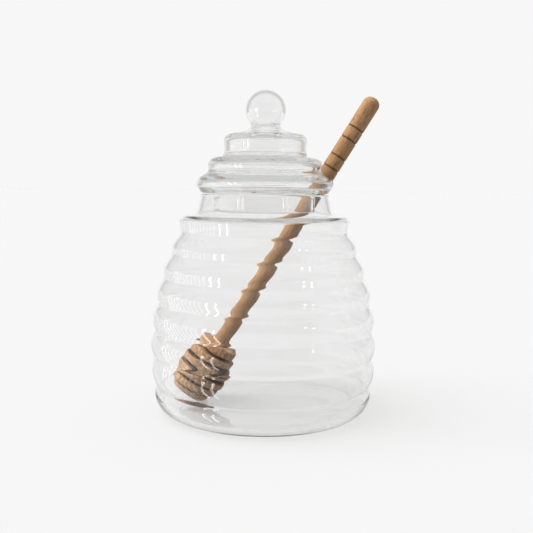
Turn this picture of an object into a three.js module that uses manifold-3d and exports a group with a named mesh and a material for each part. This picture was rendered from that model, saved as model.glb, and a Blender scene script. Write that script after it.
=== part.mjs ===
// Beehive honey pot: a ribbed glass jar, its stepped glass lid and a wooden honey dipper.
// Millimetres, +Z up, the origin on the jar's axis at the table. The dipper leans towards +X.
import * as THREE from 'three';
import { mergeVertices } from 'three/addons/utils/BufferGeometryUtils.js';
import Module from 'manifold-3d';

// Jar: the tier crests lie on a parabola that is widest near the bottom
const BELLY_RADIUS = 53.6;
const BELLY_HEIGHT = 31;
const SHOULDER_RADIUS = 40.1;
const SHOULDER_CREST = 88;
const TAPER = (BELLY_RADIUS - SHOULDER_RADIUS) / (SHOULDER_CREST - BELLY_HEIGHT) ** 2;

// Jar: grooves between the tiers, which get closer together towards the top
const TIER_COUNT = 6;
const FIRST_GROOVE = 13;
const FIRST_PITCH = 14.1;
const PITCH_FALL = 0.8;
const GROOVE_DEPTH = 1.6;

// Jar: wall, floor, shoulder and neck
const CREST_WALL = 2;
const FLOOR = 2.4;
const BASE_CORNER = 10;
const INNER_CORNER = 7.8;
const SHOULDER_TOP = 93.9;
const SHOULDER_CORNER = 2.7;
const INNER_SHOULDER_CORNER = 1.8;
const SHOULDER_WALL = 2;
const NECK_FOOT_RADIUS = 31.4;
const NECK_FOOT_FILLET = 4.2;
const NECK_RADIUS = 30.2;
const NECK_WALL = 1.8;
const LIP_TOP = 104;

// Lid: collar inside the neck, hollow rolled flange on the lip, two tiers and a hollow ball knob
const SEAT_GAP = 0.3;
const COLLAR_RADIUS = 24.3;
const COLLAR_WALL = 2.2;
const COLLAR_BOTTOM = 94.6;
const COLLAR_FILLET = 1;
const FLANGE_UNDERSIDE = LIP_TOP + SEAT_GAP;
const FLANGE_RADIUS = 32.6;
const FLANGE_TIP_HEIGHT = 109;
const FLANGE_ROLL = 2.6;
const FLANGE_ROLL_ANGLES = [-50, 62];
const FLANGE_HOLLOW = 0.5;
const LOWER_TIER = { foot: 27.9, radius: 26.9, bottom: 113.5, top: 120.9, corner: 3 };
const UPPER_TIER = { foot: 20.4, radius: 19.6, bottom: 121.7, top: 132, corner: 3 };
const TIER_FOOT_FILLET = 1;
const LID_WALL = 2.4;
const INNER_CORNER_SHARE = 0.8;
const KNOB_RADIUS = 9.6;
const KNOB_CENTRE = 143.1;
const KNOB_WALL = 1.3;
const KNOB_NECK_RADIUS = 6.8;
const KNOB_NECK_FLARE = { radius: 7.2, height: 134.7 };
const KNOB_BORE = 4.6;
const KNOB_FOOT = { radius: 10, height: 133.6 };

// Lid: mouse-hole notch on the +X side for the dipper's stick
const NOTCH_WIDTH = 13;
const NOTCH_TOP = 119.5;
const NOTCH_DEPTH = 24;
const NOTCH_START = 14;

// Dipper: turned from one piece, its head of discs on the jar's floor, its stick in the notch
const HEAD_LENGTH = 30;
const DISC_RADII = [9.6, 11.7, 12.4, 12.1, 11.2, 9.5];
const DISC_GROOVE = 1.1;
const DISC_GROOVE_RADIUS = 7.6;
const DISC_EDGE = 0.5;
const HEAD_END_ROUND = { across: 5, along: 3.4 };
const STICK_RADIUS = 3.75;
const HANDLE_RADIUS = 4.1;
const HANDLE_LENGTH = 45;
const HANDLE_TAPER = 30;
const DIPPER_LENGTH = 168;
const HANDLE_GROOVES = [38.5, 32.3, 22.9, 16.8];
const HANDLE_GROOVE_WIDTH = 0.8;
const HANDLE_GROOVE_DEPTH = 0.5;
const TIP_ROUND = 3.6;
const HEAD_END = new THREE.Vector3(-36.6, 0.4, 6.15);
const NOTCH_PASS = new THREE.Vector3(28.3, 1.2, 112.1);

// Facets round each piece
const JAR_SIDES = 40;
const LID_SIDES = 40;
const DIPPER_SIDES = 20;
const TIER_STEPS = 4;
const CORNER_STEPS = 4;
const FILLET_STEPS = 2;
const BALL_STEPS = 8;
const NOTCH_STEPS = 5;
const WELD_DISTANCE = 1e-4;

const GLASS = { color: 0xe9efec, roughness: 0.03, metalness: 0, transparent: true, opacity: 0.35 };
const WOOD = { color: 0xb08a63, roughness: 0.62, metalness: 0 };

const wasm = await Module();
wasm.setup();

// Points on an arc in the radius-height plane, angles in degrees from the outward direction
function arc(centreR, centreZ, radius, from, to, steps) {
  const points = [];
  for (let i = 0; i <= steps; i++) {
    const angle = THREE.MathUtils.degToRad(from + ((to - from) * i) / steps);
    points.push([centreR + radius * Math.cos(angle), centreZ + radius * Math.sin(angle)]);
  }
  return points;
}

// A body of revolution about +Y from a profile of [radius, height] points
function turned(profile, sides) {
  const points = profile.map(([radius, height]) => new THREE.Vector2(Math.max(radius, 0), height));
  return new THREE.LatheGeometry(points, sides);
}

const crest = (z) => BELLY_RADIUS - TAPER * (z - BELLY_HEIGHT) ** 2;

function grooveHeights() {
  const heights = [FIRST_GROOVE];
  for (let tier = 0; tier < TIER_COUNT; tier++) {
    heights.push(heights[tier] + FIRST_PITCH - PITCH_FALL * tier);
  }
  return heights;
}

// The rounded tiers from the lowest groove to the highest, set in from the crest line by inset
function tierWall(inset) {
  const grooves = grooveHeights();
  const points = [];
  for (let tier = 0; tier < TIER_COUNT; tier++) {
    const height = grooves[tier + 1] - grooves[tier];
    for (let step = 0; step < TIER_STEPS; step++) {
      const t = step / TIER_STEPS;
      const z = grooves[tier] + height * t;
      points.push([crest(z) - inset - GROOVE_DEPTH * (1 - Math.sin(Math.PI * t)), z]);
    }
  }
  const last = grooves[TIER_COUNT];
  points.push([crest(last) - inset - GROOVE_DEPTH, last]);
  return points;
}

function jarProfile() {
  const baseRadius = crest(BASE_CORNER);
  const shoulderBend = SHOULDER_TOP - SHOULDER_CORNER;
  const lipRound = NECK_WALL / 2;
  const neckFillet = [NECK_FOOT_RADIUS + NECK_FOOT_FILLET, SHOULDER_TOP + NECK_FOOT_FILLET];
  const innerBend = SHOULDER_TOP - SHOULDER_WALL - INNER_SHOULDER_CORNER;
  const innerShoulder = SHOULDER_RADIUS - CREST_WALL - INNER_SHOULDER_CORNER;
  const innerBase = baseRadius - CREST_WALL;
  const outside = [
    [0, 0],
    ...arc(baseRadius - BASE_CORNER, BASE_CORNER, BASE_CORNER, -90, 0, CORNER_STEPS),
    ...tierWall(0),
    ...arc(SHOULDER_RADIUS - SHOULDER_CORNER, shoulderBend, SHOULDER_CORNER, 0, 90, CORNER_STEPS),
    ...arc(...neckFillet, NECK_FOOT_FILLET, 270, 180, FILLET_STEPS),
  ];
  const lip = arc(NECK_RADIUS - lipRound, LIP_TOP - lipRound, lipRound, 0, 180, CORNER_STEPS);
  const inside = [
    ...arc(...neckFillet, NECK_FOOT_FILLET + SHOULDER_WALL, 180, 270, FILLET_STEPS),
    ...arc(innerShoulder, innerBend, INNER_SHOULDER_CORNER, 90, 0, FILLET_STEPS),
    ...tierWall(CREST_WALL).reverse(),
    ...arc(innerBase - INNER_CORNER, FLOOR + INNER_CORNER, INNER_CORNER, 0, -90, CORNER_STEPS),
    [0, FLOOR],
  ];
  return [...outside, ...lip, ...inside];
}

// The lid's skin from a tier's foot up to the inner end of its top corner
function tierSkin(tier, inset) {
  const corner = tier.corner - inset * INNER_CORNER_SHARE;
  const radius = tier.radius - inset;
  return [
    [tier.foot - inset, tier.bottom - inset],
    [radius, tier.bottom + TIER_FOOT_FILLET - inset],
    ...arc(radius - corner, tier.top - inset - corner, corner, 0, 90, CORNER_STEPS),
  ];
}

function lidProfile() {
  const collarRound = COLLAR_WALL / 2;
  const collarInner = COLLAR_RADIUS - COLLAR_WALL;
  const flangeRoll = [FLANGE_RADIUS - FLANGE_ROLL, FLANGE_TIP_HEIGHT];
  const flangeFloor = FLANGE_UNDERSIDE + LID_WALL;
  const neckAngle = THREE.MathUtils.radToDeg(Math.acos(KNOB_NECK_RADIUS / KNOB_RADIUS));
  const boreRadius = KNOB_RADIUS - KNOB_WALL;
  const boreAngle = THREE.MathUtils.radToDeg(Math.acos(KNOB_BORE / boreRadius));
  const inside = [
    ...arc(0, KNOB_CENTRE, boreRadius, 90, -boreAngle, BALL_STEPS),
    [KNOB_BORE, KNOB_FOOT.height],
    [KNOB_FOOT.radius - LID_WALL / 2, KNOB_FOOT.height - LID_WALL],
    ...tierSkin(UPPER_TIER, LID_WALL).reverse(),
    ...tierSkin(LOWER_TIER, LID_WALL).reverse(),
    ...arc(...flangeRoll, FLANGE_HOLLOW, ...FLANGE_ROLL_ANGLES, FILLET_STEPS).reverse(),
    [NECK_RADIUS - LID_WALL / 2, flangeFloor],
    [collarInner + COLLAR_FILLET, flangeFloor],
    [collarInner, flangeFloor - COLLAR_FILLET],
  ];
  const collar = [
    ...arc(COLLAR_RADIUS - collarRound, COLLAR_BOTTOM + collarRound, collarRound, 180, 360, CORNER_STEPS),
    [COLLAR_RADIUS, FLANGE_UNDERSIDE - COLLAR_FILLET],
    [COLLAR_RADIUS + COLLAR_FILLET, FLANGE_UNDERSIDE],
    [NECK_RADIUS, FLANGE_UNDERSIDE],
  ];
  const outside = [
    ...arc(...flangeRoll, FLANGE_ROLL, ...FLANGE_ROLL_ANGLES, CORNER_STEPS),
    ...tierSkin(LOWER_TIER, 0),
    ...tierSkin(UPPER_TIER, 0),
    [KNOB_FOOT.radius, KNOB_FOOT.height],
    [KNOB_NECK_FLARE.radius, KNOB_NECK_FLARE.height],
    ...arc(0, KNOB_CENTRE, KNOB_RADIUS, -neckAngle, 90, BALL_STEPS),
  ];
  return [...inside, ...collar, ...outside];
}

// A closed mesh as a solid that can be cut
function solid(geometry) {
  const bare = geometry.clone();
  bare.deleteAttribute('normal');
  bare.deleteAttribute('uv');
  const merged = mergeVertices(bare, WELD_DISTANCE);
  const vertProperties = new Float32Array(merged.getAttribute('position').array);
  const triVerts = new Uint32Array(merged.getIndex().array);
  return new wasm.Manifold(new wasm.Mesh({ numProp: 3, vertProperties, triVerts }));
}

function geometryOf(body) {
  const mesh = body.getMesh();
  const geometry = new THREE.BufferGeometry();
  geometry.setAttribute('position', new THREE.BufferAttribute(new Float32Array(mesh.vertProperties), 3));
  geometry.setIndex(new THREE.BufferAttribute(new Uint32Array(mesh.triVerts), 1));
  geometry.computeVertexNormals();
  return geometry;
}

// A slot with a round top, open downwards, that runs outwards along +X
function notchCutter() {
  const half = NOTCH_WIDTH / 2;
  const bottom = COLLAR_BOTTOM - half;
  const outline = new THREE.Shape();
  outline.moveTo(-half, bottom);
  outline.lineTo(half, bottom);
  outline.lineTo(half, NOTCH_TOP - half);
  outline.absarc(0, NOTCH_TOP - half, half, 0, Math.PI, false);
  outline.closePath();
  const run = { depth: NOTCH_DEPTH, bevelEnabled: false, curveSegments: NOTCH_STEPS };
  const slot = new THREE.ExtrudeGeometry(outline, run);
  const alongX = new THREE.Matrix4().makeBasis(
    new THREE.Vector3(0, 1, 0),
    new THREE.Vector3(0, 0, 1),
    new THREE.Vector3(1, 0, 0),
  );
  slot.applyMatrix4(alongX);
  slot.translate(NOTCH_START, 0, 0);
  return slot;
}

function jar() {
  const geometry = turned(jarProfile(), JAR_SIDES).rotateX(Math.PI / 2);
  const mesh = new THREE.Mesh(geometry, new THREE.MeshStandardMaterial(GLASS));
  mesh.name = 'jar';
  return mesh;
}

function lid() {
  const blank = turned(lidProfile(), LID_SIDES).rotateX(Math.PI / 2);
  const cut = solid(blank).subtract(solid(notchCutter()));
  const mesh = new THREE.Mesh(geometryOf(cut), new THREE.MeshStandardMaterial(GLASS));
  mesh.name = 'lid';
  return mesh;
}

// The head's discs, from the rounded end to the disc beside the stick
function headProfile() {
  const count = DISC_RADII.length;
  const pitch = (HEAD_LENGTH + DISC_GROOVE) / count;
  const { across, along } = HEAD_END_ROUND;
  const flat = DISC_RADII[0] - across;
  const round = arc(0, 1, 1, -90, 0, CORNER_STEPS).map(([r, z]) => [flat + across * r, along * z]);
  const points = [[0, 0], ...round];
  DISC_RADII.forEach((radius, index) => {
    const start = index * pitch;
    const end = start + pitch - DISC_GROOVE;
    if (index > 0) {
      points.push([DISC_GROOVE_RADIUS, start], [radius - DISC_EDGE, start], [radius, start + DISC_EDGE]);
    }
    points.push([radius, end - DISC_EDGE], [radius - DISC_EDGE, end]);
    if (index < count - 1) points.push([DISC_GROOVE_RADIUS, end]);
  });
  return points;
}

function stickProfile() {
  const half = HANDLE_GROOVE_WIDTH / 2;
  const handleStart = DIPPER_LENGTH - HANDLE_LENGTH;
  const points = [[STICK_RADIUS, HEAD_LENGTH], [STICK_RADIUS, handleStart - HANDLE_TAPER]];
  points.push([HANDLE_RADIUS, handleStart]);
  for (const fromTip of HANDLE_GROOVES) {
    const centre = DIPPER_LENGTH - fromTip;
    points.push([HANDLE_RADIUS, centre - half], [HANDLE_RADIUS - HANDLE_GROOVE_DEPTH, centre]);
    points.push([HANDLE_RADIUS, centre + half]);
  }
  const tip = arc(HANDLE_RADIUS - TIP_ROUND, DIPPER_LENGTH - TIP_ROUND, TIP_ROUND, 0, 90, CORNER_STEPS);
  return [...points, ...tip, [0, DIPPER_LENGTH]];
}

function dipper() {
  const geometry = turned([...headProfile(), ...stickProfile()], DIPPER_SIDES);
  const mesh = new THREE.Mesh(geometry, new THREE.MeshStandardMaterial(WOOD));
  mesh.name = 'dipper';
  const along = NOTCH_PASS.clone().sub(HEAD_END).normalize();
  mesh.quaternion.setFromUnitVectors(new THREE.Vector3(0, 1, 0), along);
  mesh.position.copy(HEAD_END);
  return mesh;
}

const honeyPot = new THREE.Group();
honeyPot.add(jar(), lid(), dipper());

export default honeyPot;
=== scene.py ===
"""Looks of the honey pot: a blown glass jar and lid and a turned wooden dipper on a pale floor."""
import math

import bmesh
import bpy
import numpy as np
from mathutils import Matrix, Vector


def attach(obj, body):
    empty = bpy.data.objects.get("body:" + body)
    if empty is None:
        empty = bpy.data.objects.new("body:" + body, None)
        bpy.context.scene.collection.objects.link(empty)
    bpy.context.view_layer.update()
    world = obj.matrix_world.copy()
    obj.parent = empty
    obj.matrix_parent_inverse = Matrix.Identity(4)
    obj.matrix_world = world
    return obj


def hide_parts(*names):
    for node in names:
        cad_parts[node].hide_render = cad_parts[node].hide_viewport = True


MM = 0.001

# Jar, in millimetres: tier crests on a parabola that is widest near the bottom, walls as (height, thickness)
BELLY_RADIUS = 53.6
BELLY_HEIGHT = 31
SHOULDER_RADIUS = 40.1
SHOULDER_CREST = 88
TAPER = (BELLY_RADIUS - SHOULDER_RADIUS) / (SHOULDER_CREST - BELLY_HEIGHT) ** 2
TIER_COUNT = 6
FIRST_GROOVE = 13
FIRST_PITCH = 14.1
PITCH_FALL = 0.8
GROOVE_DEPTH = 1.6
BASE_CORNER = 10
SHOULDER_TOP = 93.9
SHOULDER_CORNER = 2.7
NECK_FOOT_RADIUS = 31.4
NECK_FOOT_FILLET = 4.2
NECK_RADIUS = 30.2
NECK_WALL = 1.8
LIP_TOP = 104
JAR_WALLS = ((0, 2.4), (10, 2), (104, 1.8))

# Lid: collar, rolled flange, two tiers, hollow ball knob and the dipper's notch
SEAT_GAP = 0.3
COLLAR_RADIUS = 24.3
COLLAR_WALL = 2.2
COLLAR_BOTTOM = 94.6
COLLAR_FILLET = 1
FLANGE_UNDERSIDE = LIP_TOP + SEAT_GAP
FLANGE_RADIUS = 32.6
FLANGE_TIP_HEIGHT = 109
FLANGE_ROLL = 2.6
FLANGE_HOLLOW = 0.5
FLANGE_ROLL_ANGLES = (-50, 62)
LOWER_TIER = {"foot": 27.9, "radius": 26.9, "bottom": 113.5, "top": 120.9, "corner": 3}
UPPER_TIER = {"foot": 20.4, "radius": 19.6, "bottom": 121.7, "top": 132, "corner": 3}
TIER_FOOT_FILLET = 1
LID_WALL = 2.4
INNER_CORNER_SHARE = 0.8
KNOB_RADIUS = 9.6
KNOB_CENTRE = 143.1
KNOB_WALL = 1.3
KNOB_NECK_RADIUS = 6.8
KNOB_NECK_FLARE = {"radius": 7.2, "height": 134.7}
KNOB_BORE = 4.6
KNOB_FOOT = {"radius": 10, "height": 133.6}
NOTCH_WIDTH = 13
NOTCH_TOP = 119.5
NOTCH_ROUND = 1.1

# Dipper, along its own axis from the head's end
HEAD_LENGTH = 30
DISC_RADII = (9.6, 11.7, 12.4, 12.1, 11.2, 9.5)
DISC_GROOVE = 1.1
DISC_GROOVE_RADIUS = 7.6
DISC_PITCH = (HEAD_LENGTH + DISC_GROOVE) / len(DISC_RADII)
DISC_EDGE = 0.5
HEAD_END_ROUND = {"across": 5, "along": 3.4}
STICK_RADIUS = 3.75
HANDLE_RADIUS = 4.1
HANDLE_LENGTH = 45
HANDLE_TAPER = 30
DIPPER_LENGTH = 168
HANDLE_GROOVES = (38.5, 32.3, 22.9, 16.8)
HANDLE_GROOVE_WIDTH = 0.8
HANDLE_GROOVE_DEPTH = 0.5
TIP_ROUND = 3.6
HEAD_END = Vector((-36.6, 0.4, 6.15))
NOTCH_PASS = Vector((28.3, 1.2, 112.1))

# Mesh fineness
ARC_STEPS = 16
TIER_STEPS = 24
JAR_SIDES = 176
JAR_STEP = 0.62
JAR_SOFT = 0.55
LID_COLUMNS = 208
LID_CROWDING = 0.7
LID_STEP = 0.45
LID_SOFT = 0.5
NOTCH_ARCH_STEPS = 18
NOTCH_SIDE_STEPS = 60
NOTCH_RUNGS = 12
DIPPER_SIDES = 96
DIPPER_STEP = 0.3
DIPPER_SOFT = 0.16
WELD_DISTANCE = 1e-8
TINY = 1e-6

# Camera: distance, height and aim in millimetres and degrees, focal length in pixels of the picture
PICTURE = 533
SENSOR = 36
FOCAL_PIXELS = 760
CAMERA_DISTANCE = 361.7
CAMERA_HEIGHT = 106
CAMERA_PITCH = 5.75
CAMERA_YAW = 0.18
CAMERA_ROLL = 0.66
NEAREST_VIEW = 0.01
LIGHT_BOUNCES = 32

# Glass: colour at each surface, tint in its depth, slight waves, and what it lets through to lamps
GLASS_COLOUR = (0.967, 0.967, 0.967, 1)
GLASS_IOR = 1.47
GLASS_TINT = (0.75, 0.76, 0.72, 1)
GLASS_TINT_DENSITY = 12
GLASS_LAMP_COLOUR = (0.98, 0.98, 0.975, 1)
WAVE_STRETCH = (1, 1, 2)
WAVE_SCALE = 55
WAVE_STRENGTH = 0.06
WAVE_HEIGHT = 0.0004

# Wood: a pattern has (stretch along the grain, scale, detail, roughness), a ramp (place, colour) stops
FIBRES = (20, 900, 5, 0.65)
FIBRE_COLOURS = ((0.3, (0.215, 0.112, 0.049)), (0.65, (0.345, 0.193, 0.09)))
FIBRE_GLOSS = ((0.2, (0.6, 0.6, 0.6)), (0.8, (0.44, 0.44, 0.44)))
FIBRE_STRENGTH = 0.35
FIBRE_HEIGHT = 0.0003
BROAD_BANDS = (8, 110, 2, 0.5)
BROAD_COLOUR = (0.375, 0.21, 0.099)
FLECKS = (9, 2600, 2, 0.5)
FLECK_SHADES = ((0.36, (0.55, 0.53, 0.5)), (0.46, (1, 1, 1)))
MOTTLE = (2, 950, 3, 0.6)
MOTTLE_SHADES = ((0.38, (0.62, 0.59, 0.55)), (0.6, (1.25, 1.25, 1.25)))
SOOT_COLOURS = ((0.38, (0.055, 0.02, 0.006)), (0.62, (0.17, 0.085, 0.04)))
# Paler wood of the head, and painted light: the same colour lightens the stick inside the jar
PALE_WOOD_AND_PAINTED_LIGHT_COLOUR = (0.52, 0.315, 0.175)
WOOD_SPECULAR = 0.35

# Marks on the wood: burnt half widths at the head's grooves, waves as (count, shift, swing), (place, share)
BURN_WIDTHS = (0.7, 1.05, 1.15, 1.05, 0.8)
BURN_WAVES = ((3, 1, 0.25), (8, 2, 0.15))
BURN_EDGE = 2
HANDLE_BURN = 1.5
# Paler wood on the head; painted light on the stick, lightened from the head up to the jar's neck
PALE_WOOD_AND_PAINTED_LIGHT_ALONG = ((30.5, 0.55), (31, 0.22), (108, 0.22), (125, 0))
MOTTLED_ALONG = ((30, 1), (30.5, 0.15))

# Floor: a wide disc just under the pot, that glows less in front, in metres
FLOOR_RADIUS = 40
FLOOR_SIDES = 64
FLOOR_DROP = 0.00005
FLOOR_COLOUR = (0.21, 0.21, 0.21, 1)

# Light: room brightness from front to back, daylight from the left, window panes and blind slats in degrees
BACKDROP = 0.93
FLOOR_FADE = (-0.45, -0.14)
FLOOR_GLOW = (0.168, 0.453)
ROOM_SHADES = ((0, 0.28), (0.3, 0.3), (0.5, 0.6), (0.78, 0.68), (0.86, 0.6), (0.93, 0.6), (0.965, 0.93))
ROOM_SIDES = 0.5
SIDES_REACH = (0.7, 0.95)
CEILING = 0.65
CEILING_REACH = (0.5, 0.8)
LAMP_AIM = Vector((0, 0, 0.06))
DAYLIGHT_DISTANCE = 3
DAYLIGHT = 6.2
DAYLIGHT_FROM = (80, 60)
DAYLIGHT_SPREAD = 55
WINDOW_DISTANCE = 1.5
WINDOW_LIFT = -13
WINDOW_HEIGHT = 48
PANES = (50, 61)
PANE_WIDTH = 2.6
PANE_GLOW = 8
FIRST_SLAT = 70
SLAT_COUNT = 9
SLAT_PITCH = 6
SLAT_WIDTH = 1.9
SLAT_GLOW = 2

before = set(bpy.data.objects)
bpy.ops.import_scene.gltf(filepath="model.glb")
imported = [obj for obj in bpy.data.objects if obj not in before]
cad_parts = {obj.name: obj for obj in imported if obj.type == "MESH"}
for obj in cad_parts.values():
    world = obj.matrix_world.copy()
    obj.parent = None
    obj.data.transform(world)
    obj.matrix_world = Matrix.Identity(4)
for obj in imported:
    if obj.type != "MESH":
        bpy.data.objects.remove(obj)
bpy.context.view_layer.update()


# Profiles in the radius-height plane

def arc(centre_r, centre_z, radius, start, end):
    """Points on an arc, angles in degrees from the outward direction."""
    turn = np.radians(np.linspace(start, end, ARC_STEPS + 1))
    return np.column_stack([centre_r + radius * np.cos(turn), centre_z + radius * np.sin(turn)])


def crest(z):
    return BELLY_RADIUS - TAPER * (z - BELLY_HEIGHT) ** 2


def groove_heights():
    pitches = FIRST_PITCH - PITCH_FALL * np.arange(TIER_COUNT)
    return FIRST_GROOVE + np.r_[0, np.cumsum(pitches)]


def tier_wall():
    """The rounded tiers from the lowest groove to the highest."""
    grooves = groove_heights()
    tiers = np.linspace(0, TIER_COUNT, TIER_COUNT * TIER_STEPS + 1)
    z = np.interp(tiers, np.arange(TIER_COUNT + 1), grooves)
    bulge = np.abs(np.sin(np.pi * tiers))
    return np.column_stack([crest(z) - GROOVE_DEPTH * (1 - bulge), z])


def softened(profile, step, spread, open_end=False):
    """A profile that starts on the axis, at even steps, with its kinks rounded over about spread."""
    points = np.vstack(profile)
    run = np.r_[0, np.cumsum(np.linalg.norm(np.diff(points, axis=0), axis=1))]
    even = np.linspace(0, run[-1], int(run[-1] / step) + 1)
    dense = np.column_stack([np.interp(even, run, points[:, k]) for k in (0, 1)])
    reach = int(3 * spread / step) + 1
    weights = np.exp(-0.5 * (np.arange(-reach, reach + 1) * step / spread) ** 2)
    weights /= weights.sum()
    before = dense[reach:0:-1] * (-1, 1)
    after = dense[-2:-reach - 2:-1] * (-1, 1)
    if open_end:
        after = 2 * dense[-1] - dense[-2:-reach - 2:-1]
    padded = np.vstack([before, dense, after])
    smooth = np.column_stack([np.convolve(padded[:, k], weights, "valid") for k in (0, 1)])
    smooth[0, 0] = 0
    if not open_end:
        smooth[-1, 0] = 0
    return smooth


def jar_outside():
    """The jar's outer skin from the axis at the bottom to the lip's outer edge."""
    neck_fillet = NECK_FOOT_RADIUS + NECK_FOOT_FILLET
    return np.vstack([
        [(0, 0)],
        arc(crest(BASE_CORNER) - BASE_CORNER, BASE_CORNER, BASE_CORNER, -90, 0),
        tier_wall(),
        arc(SHOULDER_RADIUS - SHOULDER_CORNER, SHOULDER_TOP - SHOULDER_CORNER, SHOULDER_CORNER, 0, 90),
        arc(neck_fillet, SHOULDER_TOP + NECK_FOOT_FILLET, NECK_FOOT_FILLET, 270, 180),
        [(NECK_RADIUS, LIP_TOP - NECK_WALL / 2)],
    ])


def jar_profile():
    """The outer skin, the round lip, and the outer skin again moved in by the wall's thickness."""
    outside = softened(jar_outside(), JAR_STEP, JAR_SOFT, open_end=True)
    along = np.gradient(outside, axis=0)
    inward = np.column_stack([-along[:, 1], along[:, 0]]) / np.linalg.norm(along, axis=1)[:, None]
    wall = np.interp(outside[:, 1], *zip(*JAR_WALLS))
    inside = outside + inward * wall[:, None]
    inside[:, 0] = np.maximum(inside[:, 0], 0)
    lip = arc(NECK_RADIUS - NECK_WALL / 2, LIP_TOP - NECK_WALL / 2, NECK_WALL / 2, 0, 180)[1:-1]
    return np.vstack([outside, lip, inside[::-1]])


def tier_skin(tier, inset):
    """The lid's skin from a tier's foot up to the inner end of its top corner."""
    corner = tier["corner"] - inset * INNER_CORNER_SHARE
    radius = tier["radius"] - inset
    bottom = tier["bottom"] - inset
    foot = [(tier["foot"] - inset, bottom), (radius, bottom + TIER_FOOT_FILLET)]
    return np.vstack([foot, arc(radius - corner, tier["top"] - inset - corner, corner, 0, 90)])


def lid_profile():
    collar_round = COLLAR_WALL / 2
    collar_inner = COLLAR_RADIUS - COLLAR_WALL
    flange_floor = FLANGE_UNDERSIDE + LID_WALL
    neck_angle = math.degrees(math.acos(KNOB_NECK_RADIUS / KNOB_RADIUS))
    bore_radius = KNOB_RADIUS - KNOB_WALL
    bore_angle = math.degrees(math.acos(KNOB_BORE / bore_radius))
    return softened([
        arc(0, KNOB_CENTRE, bore_radius, 90, -bore_angle),
        [(KNOB_BORE, KNOB_FOOT["height"])],
        [(KNOB_FOOT["radius"] - LID_WALL / 2, KNOB_FOOT["height"] - LID_WALL)],
        tier_skin(UPPER_TIER, LID_WALL)[::-1],
        tier_skin(LOWER_TIER, LID_WALL)[::-1],
        arc(FLANGE_RADIUS - FLANGE_ROLL, FLANGE_TIP_HEIGHT, FLANGE_HOLLOW, *FLANGE_ROLL_ANGLES[::-1]),
        [(NECK_RADIUS - LID_WALL / 2, flange_floor)],
        [(collar_inner + COLLAR_FILLET, flange_floor)],
        [(collar_inner, flange_floor - COLLAR_FILLET)],
        arc(COLLAR_RADIUS - collar_round, COLLAR_BOTTOM + collar_round, collar_round, 180, 360),
        [(COLLAR_RADIUS, FLANGE_UNDERSIDE - COLLAR_FILLET)],
        [(COLLAR_RADIUS + COLLAR_FILLET, FLANGE_UNDERSIDE)],
        [(NECK_RADIUS, FLANGE_UNDERSIDE)],
        arc(FLANGE_RADIUS - FLANGE_ROLL, FLANGE_TIP_HEIGHT, FLANGE_ROLL, *FLANGE_ROLL_ANGLES),
        tier_skin(LOWER_TIER, 0),
        tier_skin(UPPER_TIER, 0),
        [(KNOB_FOOT["radius"], KNOB_FOOT["height"])],
        [(KNOB_NECK_FLARE["radius"], KNOB_NECK_FLARE["height"])],
        arc(0, KNOB_CENTRE, KNOB_RADIUS, -neck_angle, 90),
    ], LID_STEP, LID_SOFT)


# Meshes

def new_piece(name, vertices, faces, material):
    """A smooth mesh object from points in millimetres; points that coincide become one."""
    mesh = bpy.data.meshes.new(name)
    mesh.from_pydata((np.asarray(vertices) * MM).tolist(), [], faces)
    bm = bmesh.new()
    bm.from_mesh(mesh)
    bmesh.ops.remove_doubles(bm, verts=bm.verts, dist=WELD_DISTANCE)
    bmesh.ops.recalc_face_normals(bm, faces=bm.faces)
    bm.to_mesh(mesh)
    bm.free()
    mesh.polygons.foreach_set("use_smooth", [True] * len(mesh.polygons))
    mesh.materials.append(material)
    piece = bpy.data.objects.new(name, mesh)
    bpy.context.collection.objects.link(piece)
    return piece


def grid_faces(rows, columns, first=0):
    """Quads over a grid of points stored row by row."""
    corner = first + (np.arange(rows - 1)[:, None] * columns + np.arange(columns - 1)).ravel()
    return np.column_stack([corner, corner + 1, corner + columns + 1, corner + columns]).tolist()


def swept(profile, turn):
    """Points of a profile turned about the axis; turn holds an angle for each point and column."""
    radius, height = profile[:, :1], profile[:, 1:]
    points = np.stack([radius * np.cos(turn), radius * np.sin(turn), height + 0 * turn], axis=-1)
    return points.reshape(-1, 3)


def turned(name, profile, sides, material):
    turn = np.linspace(0, 2 * math.pi, sides + 1) % (2 * math.pi)
    turn = np.broadcast_to(turn, (len(profile), sides + 1))
    return new_piece(name, swept(profile, turn), grid_faces(len(profile), sides + 1), material)


def cut_edge(points, top, arch):
    """A cut edge from the notch's top to its bottom, its points close together round the arch's top."""
    share = (points[0, 1] - top) / (points[0, 1] - points[1, 1])
    points = np.vstack([points[0] + share * (points[1] - points[0]), points[1:]])
    run = np.r_[0, np.cumsum(np.linalg.norm(np.diff(points, axis=0), axis=1))]
    bend = arch * (1 - np.cos(np.linspace(0, math.pi / 2, NOTCH_ARCH_STEPS + 1)))
    side = np.linspace(arch, run[-1], NOTCH_SIDE_STEPS + 1)[1:]
    where = np.r_[bend, side]
    return np.column_stack([np.interp(where, run, points[:, k]) for k in (0, 1)])


def split_at_notch(profile, top, arch):
    """The lid's profile inside and outside above the notch, and between them its two cut edges."""
    bottom = int(np.argmin(profile[:, 1]))
    inner = bottom - int(np.argmax(profile[bottom::-1, 1] > top))
    outer = bottom + int(np.argmax(profile[bottom:, 1] > top))
    inner_edge = cut_edge(profile[inner:bottom + 1], top, arch)
    outer_edge = cut_edge(profile[outer:bottom - 1:-1], top, arch)
    return profile[:inner + 1], inner_edge, outer_edge, profile[outer:]


def notch_half_width(height, centre, reach):
    over = np.clip(height - centre, 0, reach)
    return np.sqrt(reach ** 2 - over ** 2)


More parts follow.
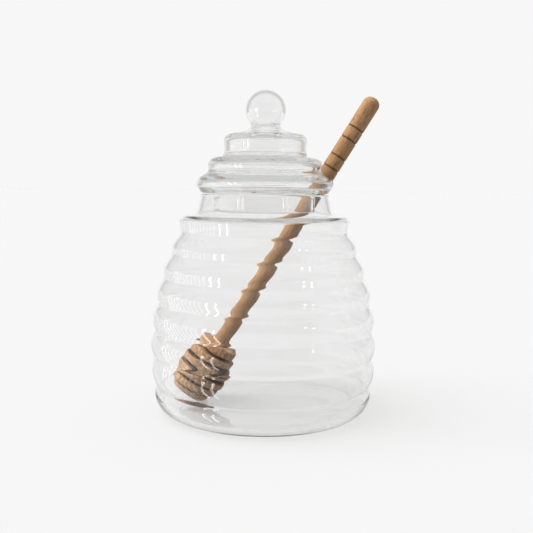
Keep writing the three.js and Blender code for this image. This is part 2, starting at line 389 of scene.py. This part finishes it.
def notch_wall(inner, outer, side, centre, first):
    """The rounded wall of the notch on one side, between its inner and outer edges."""
    along = 0.5 * (1 - np.cos(np.linspace(0, math.pi, NOTCH_RUNGS + 1)))[None, :, None]
    length = np.linalg.norm(outer - inner, axis=1)[:, None]
    away = np.minimum(along[..., 0], 1 - along[..., 0]) * length
    rounding = np.minimum(NOTCH_ROUND, length / 2)
    bulge = np.sqrt(np.maximum(rounding ** 2 - (rounding - np.minimum(away, rounding)) ** 2, 0))
    points = inner[:, None] * (1 - along) + outer[:, None] * along
    into = np.zeros_like(points)
    into[..., 1] = -points[..., 1]
    into[..., 2] = -np.maximum(points[..., 2] - centre, 0)
    into /= np.maximum(np.linalg.norm(into, axis=-1, keepdims=True), TINY)
    points = points + into * bulge[..., None]
    faces = grid_faces(len(inner), NOTCH_RUNGS + 1, first)
    return points.reshape(-1, 3), faces if side > 0 else [face[::-1] for face in faces]


def lid_mesh(material):
    """The lid turned from its profile, opened at the notch, with rounded walls round the opening."""
    reach = NOTCH_WIDTH / 2 + NOTCH_ROUND
    centre = NOTCH_TOP - NOTCH_WIDTH / 2
    above_in, inner, outer, above_out = split_at_notch(lid_profile(), centre + reach, reach)
    profile = np.vstack([above_in, inner, outer[-2::-1], above_out])
    first = len(above_in)
    last = first + 2 * len(inner) - 2
    half = np.zeros(len(profile))
    half[first + 1:last] = notch_half_width(profile[first + 1:last, 1], centre, reach)
    start = np.arcsin(half / np.maximum(profile[:, 0], TINY))[:, None]
    even = np.linspace(0, 1, LID_COLUMNS + 1)
    share = even - LID_CROWDING * np.sin(2 * math.pi * even) / (2 * math.pi)
    turn = start + (2 * math.pi - 2 * start) * share[None, :]
    points = swept(profile, turn)
    faces = grid_faces(len(profile), LID_COLUMNS + 1)
    grid = points.reshape(len(profile), LID_COLUMNS + 1, 3)
    for column, side in ((0, 1), (LID_COLUMNS, -1)):
        lip = grid[first:last + 1, column]
        wall, quads = notch_wall(lip[:len(inner)], lip[:len(inner) - 2:-1], side, centre, len(points))
        points = np.vstack([points, wall])
        faces += quads
    return new_piece("lid_glass", points, faces, material)


def head_profile():
    """The head's discs, from the rounded end to the disc beside the stick."""
    across, along = HEAD_END_ROUND["across"], HEAD_END_ROUND["along"]
    end_round = arc(0, 1, 1, -90, 0) * (across, along) + (DISC_RADII[0] - across, 0)
    points = [(0, 0), *end_round]
    for index, radius in enumerate(DISC_RADII):
        start = index * DISC_PITCH
        end = start + DISC_PITCH - DISC_GROOVE
        if index:
            points += [(DISC_GROOVE_RADIUS, start), (radius - DISC_EDGE, start), (radius, start + DISC_EDGE)]
        points += [(radius, end - DISC_EDGE), (radius - DISC_EDGE, end)]
        if index < len(DISC_RADII) - 1:
            points.append((DISC_GROOVE_RADIUS, end))
    return points


def dipper_profile():
    half = HANDLE_GROOVE_WIDTH / 2
    handle = DIPPER_LENGTH - HANDLE_LENGTH
    points = head_profile() + [(STICK_RADIUS, HEAD_LENGTH), (STICK_RADIUS, handle - HANDLE_TAPER)]
    points.append((HANDLE_RADIUS, handle))
    for from_tip in HANDLE_GROOVES:
        centre = DIPPER_LENGTH - from_tip
        points += [(HANDLE_RADIUS, centre - half), (HANDLE_RADIUS - HANDLE_GROOVE_DEPTH, centre)]
        points.append((HANDLE_RADIUS, centre + half))
    tip = arc(HANDLE_RADIUS - TIP_ROUND, DIPPER_LENGTH - TIP_ROUND, TIP_ROUND, 0, 90)
    return softened([points, tip, [(0, DIPPER_LENGTH)]], DIPPER_STEP, DIPPER_SOFT)


def dipper_lean():
    return Vector((0, 0, 1)).rotation_difference(NOTCH_PASS - HEAD_END)


def mark(piece, name, values):
    layer = piece.data.attributes.new(name, "FLOAT", "POINT")
    layer.data.foreach_set("value", values)


def mark_wood(piece):
    """Marks the dipper's burnt grooves, its paler head wood and the painted light that lightens the stick up
    to the jar's neck, and its mottled head as point attributes, 0 to 1.
    """
    spots = np.empty(len(piece.data.vertices) * 3)
    piece.data.vertices.foreach_get("co", spots)
    across, aside, along = (spots[k::3] / MM for k in range(3))
    turn = np.arctan2(aside, across)
    burnt = np.zeros(len(along))
    for from_tip in HANDLE_GROOVES:
        near = np.abs(along - (DIPPER_LENGTH - from_tip))
        burnt = np.maximum(burnt, np.clip(HANDLE_BURN - near / (HANDLE_GROOVE_WIDTH / 2), 0, 1))
    for index, width in enumerate(BURN_WIDTHS, 1):
        waves = sum(swing * np.sin(count * turn + shift * index) for count, shift, swing in BURN_WAVES)
        near = np.abs(along - (index * DISC_PITCH - DISC_GROOVE / 2))
        burnt = np.maximum(burnt, np.clip(BURN_EDGE * (1 - near / (width * (1 + waves))), 0, 1))
    mark(piece, "burnt", burnt)
    # The "pale" mark: paler wood on the head, painted light on the stick inside the jar
    mark(piece, "pale", np.interp(along, *zip(*PALE_WOOD_AND_PAINTED_LIGHT_ALONG)))
    mark(piece, "mottled", np.interp(along, *zip(*MOTTLED_ALONG)))


def dipper_mesh(material):
    piece = turned("dipper_wood", dipper_profile(), DIPPER_SIDES, material)
    mark_wood(piece)
    piece.data.transform(Matrix.Translation(HEAD_END * MM) @ dipper_lean().to_matrix().to_4x4())
    return piece


# Materials

def new_material(name):
    material = bpy.data.materials.new(name)
    material.use_nodes = True
    tree = material.node_tree
    return material, tree, tree.nodes["Principled BSDF"]


def node(tree, kind, **values):
    """A node with its sockets set by name."""
    made = tree.nodes.new(kind)
    for name, value in values.items():
        made.inputs[name.replace("_", " ")].default_value = value
    return made


def noise(tree, vector, scale, detail, roughness=0.5):
    made = node(tree, "ShaderNodeTexNoise", Scale=scale, Detail=detail, Roughness=roughness)
    tree.links.new(vector, made.inputs["Vector"])
    return made.outputs["Fac"]


def ramp(tree, fac, stops):
    """A colour ramp with (position, colour) stops."""
    made = tree.nodes.new("ShaderNodeValToRGB")
    elements = made.color_ramp.elements
    while len(elements) < len(stops):
        elements.new(0.5)
    for element, (position, colour) in zip(elements, stops):
        element.position = position
        element.color = (*colour, 1)
    tree.links.new(fac, made.inputs["Fac"])
    return made.outputs["Color"]


def mixed(tree, fac, first, second, blend="MIX"):
    """A colour mix; a side is a socket or a colour."""
    made = tree.nodes.new("ShaderNodeMix")
    made.data_type = "RGBA"
    made.blend_type = blend
    for socket, value in ((made.inputs[0], fac), (made.inputs[6], first), (made.inputs[7], second)):
        if isinstance(value, bpy.types.NodeSocket):
            tree.links.new(value, socket)
        else:
            socket.default_value = value if isinstance(value, float) else (*value, 1)
    return made.outputs[2]


def bump(tree, height, strength, distance):
    made = node(tree, "ShaderNodeBump", Strength=strength, Distance=distance)
    tree.links.new(height, made.inputs["Height"])
    return made.outputs["Normal"]


def placed(tree, scale, location=(0, 0, 0), rotation=(0, 0, 0)):
    """Coordinates of a pattern that is stretched by scale, then turned and moved into place."""
    coordinates = tree.nodes.new("ShaderNodeTexCoord")
    mapping = node(tree, "ShaderNodeMapping", Scale=scale, Location=location, Rotation=rotation)
    mapping.vector_type = "TEXTURE"
    tree.links.new(coordinates.outputs["Object"], mapping.inputs["Vector"])
    return mapping.outputs["Vector"]


def along_grain(tree, stretch, scale, detail, roughness):
    """A pattern drawn out along the dipper."""
    vector = placed(tree, (1, 1, stretch), HEAD_END * MM, dipper_lean().to_euler())
    return noise(tree, vector, scale, detail, roughness)


def glass_material():
    """Clear blown glass whose surface waves very slightly."""
    material, tree, shader = new_material("clear_glass")
    shader.inputs["Base Color"].default_value = GLASS_COLOUR
    shader.inputs["Roughness"].default_value = 0.0
    shader.inputs["IOR"].default_value = GLASS_IOR
    shader.inputs["Transmission Weight"].default_value = 1
    waves = noise(tree, placed(tree, WAVE_STRETCH), WAVE_SCALE, 2)
    tree.links.new(bump(tree, waves, WAVE_STRENGTH, WAVE_HEIGHT), shader.inputs["Normal"])
    let_lamps_through(tree, shader)
    depth_tint = node(tree, "ShaderNodeVolumeAbsorption", Color=GLASS_TINT, Density=GLASS_TINT_DENSITY)
    tree.links.new(depth_tint.outputs["Volume"], tree.nodes["Material Output"].inputs["Volume"])
    return material


def let_lamps_through(tree, shader):
    """Lamps light what stands behind the glass."""
    ray = tree.nodes.new("ShaderNodeLightPath")
    clear = node(tree, "ShaderNodeBsdfTransparent", Color=GLASS_LAMP_COLOUR)
    blend = tree.nodes.new("ShaderNodeMixShader")
    tree.links.new(ray.outputs["Is Shadow Ray"], blend.inputs[0])
    tree.links.new(shader.outputs["BSDF"], blend.inputs[1])
    tree.links.new(clear.outputs["BSDF"], blend.inputs[2])
    tree.links.new(blend.outputs["Shader"], tree.nodes["Material Output"].inputs["Surface"])


def marked(tree, name):
    """A point attribute of the piece, from 0 to 1."""
    made = tree.nodes.new("ShaderNodeAttribute")
    made.attribute_name = name
    return made.outputs["Fac"]


def wood_material():
    """Bare beech: long fibres, short dark flecks, burnt grooves."""
    material, tree, shader = new_material("beech")
    fibres = along_grain(tree, *FIBRES)
    mottle = along_grain(tree, *MOTTLE)
    colour = ramp(tree, fibres, FIBRE_COLOURS)
    colour = mixed(tree, along_grain(tree, *BROAD_BANDS), colour, BROAD_COLOUR)
    # Paler wood on the head, and painted light that lightens the stick inside the jar
    colour = mixed(tree, marked(tree, "pale"), colour, PALE_WOOD_AND_PAINTED_LIGHT_COLOUR)
    flecks = ramp(tree, along_grain(tree, *FLECKS), FLECK_SHADES)
    colour = mixed(tree, 1.0, colour, flecks, "MULTIPLY")
    patches = ramp(tree, mottle, MOTTLE_SHADES)
    colour = mixed(tree, marked(tree, "mottled"), colour, patches, "MULTIPLY")
    colour = mixed(tree, marked(tree, "burnt"), colour, ramp(tree, mottle, SOOT_COLOURS))
    tree.links.new(colour, shader.inputs["Base Color"])
    tree.links.new(ramp(tree, fibres, FIBRE_GLOSS), shader.inputs["Roughness"])
    shader.inputs["Specular IOR Level"].default_value = WOOD_SPECULAR
    tree.links.new(bump(tree, fibres, FIBRE_STRENGTH, FIBRE_HEIGHT), shader.inputs["Normal"])
    return material


def floor_material():
    """A pale matt sweep that shines by itself, so that its shadows stay faint; dimmer in front."""
    material, tree, shader = new_material("pale_sweep")
    shader.inputs["Base Color"].default_value = FLOOR_COLOUR
    shader.inputs["Roughness"].default_value = 1
    shader.inputs["Specular IOR Level"].default_value = 0
    shader.inputs["Emission Color"].default_value = (1, 1, 1, 1)
    coordinates = tree.nodes.new("ShaderNodeTexCoord")
    split = tree.nodes.new("ShaderNodeSeparateXYZ")
    tree.links.new(coordinates.outputs["Object"], split.inputs["Vector"])
    near, far = FLOOR_FADE
    dim, bright = FLOOR_GLOW
    fade = node(tree, "ShaderNodeMapRange", From_Min=near, From_Max=far, To_Min=dim, To_Max=bright)
    tree.links.new(split.outputs["Y"], fade.inputs["Value"])
    tree.links.new(fade.outputs["Result"], shader.inputs["Emission Strength"])
    return material


# Stage

def make_floor():
    mesh = bpy.data.meshes.new("floor")
    bm = bmesh.new()
    bmesh.ops.create_circle(bm, cap_ends=True, radius=FLOOR_RADIUS, segments=FLOOR_SIDES)
    bm.to_mesh(mesh)
    bm.free()
    mesh.materials.append(floor_material())
    floor = bpy.data.objects.new("floor", mesh)
    floor.location.z = -FLOOR_DROP
    floor.visible_glossy = False
    bpy.context.collection.objects.link(floor)


def make_world():
    """A grey room with a white backdrop behind the pot."""
    world = bpy.data.worlds.new("room")
    bpy.context.scene.world = world
    world.use_nodes = True
    tree = world.node_tree
    coordinates = tree.nodes.new("ShaderNodeTexCoord")
    split = tree.nodes.new("ShaderNodeSeparateXYZ")
    tree.links.new(coordinates.outputs["Generated"], split.inputs["Vector"])
    depth = node(tree, "ShaderNodeMapRange", From_Min=-1, From_Max=1)
    tree.links.new(split.outputs["Y"], depth.inputs["Value"])
    stops = [(place, (shade, shade, shade)) for place, shade in ROOM_SHADES]
    room = ramp(tree, depth.outputs["Result"], stops)
    aside = tree.nodes.new("ShaderNodeMath")
    aside.operation = "ABSOLUTE"
    tree.links.new(split.outputs["X"], aside.inputs[0])
    side = node(tree, "ShaderNodeMapRange", From_Min=SIDES_REACH[0], From_Max=SIDES_REACH[1])
    tree.links.new(aside.outputs["Value"], side.inputs["Value"])
    room = mixed(tree, side.outputs["Result"], room, (ROOM_SIDES, ROOM_SIDES, ROOM_SIDES))
    above = node(tree, "ShaderNodeMapRange", From_Min=CEILING_REACH[0], From_Max=CEILING_REACH[1])
    tree.links.new(split.outputs["Z"], above.inputs["Value"])
    room = mixed(tree, above.outputs["Result"], room, (CEILING, CEILING, CEILING))
    tree.links.new(room, tree.nodes["Background"].inputs["Color"])
    backdrop = node(tree, "ShaderNodeBackground", Color=(BACKDROP, BACKDROP, BACKDROP, 1))
    ray = tree.nodes.new("ShaderNodeLightPath")
    either = tree.nodes.new("ShaderNodeMixShader")
    tree.links.new(ray.outputs["Is Camera Ray"], either.inputs[0])
    tree.links.new(tree.nodes["Background"].outputs["Background"], either.inputs[1])
    tree.links.new(backdrop.outputs["Background"], either.inputs[2])
    tree.links.new(either.outputs["Shader"], tree.nodes["World Output"].inputs["Surface"])


def direction(azimuth, height):
    """A unit vector; azimuth in degrees to the left of the viewer, height above the floor."""
    turn, lift = math.radians(azimuth), math.radians(height)
    return Vector((-math.sin(turn) * math.cos(lift), -math.cos(turn) * math.cos(lift), math.sin(lift)))


def add_lamp(name, kind, power, place):
    """A lamp that faces the pot."""
    lamp = bpy.data.lights.new(name, kind)
    lamp.energy = power
    holder = bpy.data.objects.new(name, lamp)
    holder.location = place
    aim = LAMP_AIM - holder.location
    holder.rotation_euler = aim.to_track_quat("-Z", "Y").to_euler()
    bpy.context.collection.objects.link(holder)
    return holder


def make_pane(name, azimuth, width, height, glow):
    """An upright pane of the window on the left, width and height in degrees, glow its brightness."""
    size = [2 * WINDOW_DISTANCE * math.tan(math.radians(angle / 2)) for angle in (width, height)]
    place = WINDOW_DISTANCE * direction(azimuth, WINDOW_LIFT)
    holder = add_lamp(name, "AREA", glow * math.pi * size[0] * size[1], place)
    holder.data.shape = "RECTANGLE"
    holder.data.size, holder.data.size_y = size
    holder.visible_diffuse = False


def make_lights():
    daylight = add_lamp("daylight", "SUN", DAYLIGHT, DAYLIGHT_DISTANCE * direction(*DAYLIGHT_FROM))
    daylight.data.angle = math.radians(DAYLIGHT_SPREAD)
    daylight.visible_glossy = False
    daylight.visible_transmission = False
    for index, azimuth in enumerate(PANES):
        make_pane(f"pane_{index}", azimuth, PANE_WIDTH, WINDOW_HEIGHT, PANE_GLOW)
    for index in range(SLAT_COUNT):
        make_pane(f"slat_{index}", FIRST_SLAT + SLAT_PITCH * index, SLAT_WIDTH, WINDOW_HEIGHT, SLAT_GLOW)


def make_camera():
    pitch, yaw, roll = (math.radians(v) for v in (CAMERA_PITCH, CAMERA_YAW, CAMERA_ROLL))
    forward = Vector((math.sin(yaw) * math.cos(pitch), math.cos(yaw) * math.cos(pitch), -math.sin(pitch)))
    right = forward.cross(Vector((0, 0, 1))).normalized()
    up = right.cross(forward)
    tilted_up = math.cos(roll) * up - math.sin(roll) * right
    tilted_right = math.cos(roll) * right + math.sin(roll) * up
    turn = Matrix((tilted_right, tilted_up, -forward)).transposed().to_4x4()
    lens = bpy.data.cameras.new("camera")
    lens.sensor_width = SENSOR
    lens.lens = FOCAL_PIXELS * SENSOR / PICTURE
    lens.clip_start = NEAREST_VIEW
    camera = bpy.data.objects.new("camera", lens)
    camera.matrix_world = Matrix.Translation((0, -CAMERA_DISTANCE * MM, CAMERA_HEIGHT * MM)) @ turn
    bpy.context.collection.objects.link(camera)
    bpy.context.scene.camera = camera


def dress(piece, node_name):
    """A piece joins the root body and stands for its solid, which is hidden."""
    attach(piece, "root")
    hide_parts(node_name)


make_camera()
make_world()
make_lights()
make_floor()
bpy.context.scene.view_settings.view_transform = "Standard"
for kind in ("max_bounces", "glossy_bounces", "transmission_bounces", "transparent_max_bounces"):
    setattr(bpy.context.scene.cycles, kind, LIGHT_BOUNCES)

glass = glass_material()
dress(turned("jar_glass", jar_profile(), JAR_SIDES, glass), "jar")
dress(lid_mesh(glass), "lid")
dress(dipper_mesh(wood_material()), "dipper")
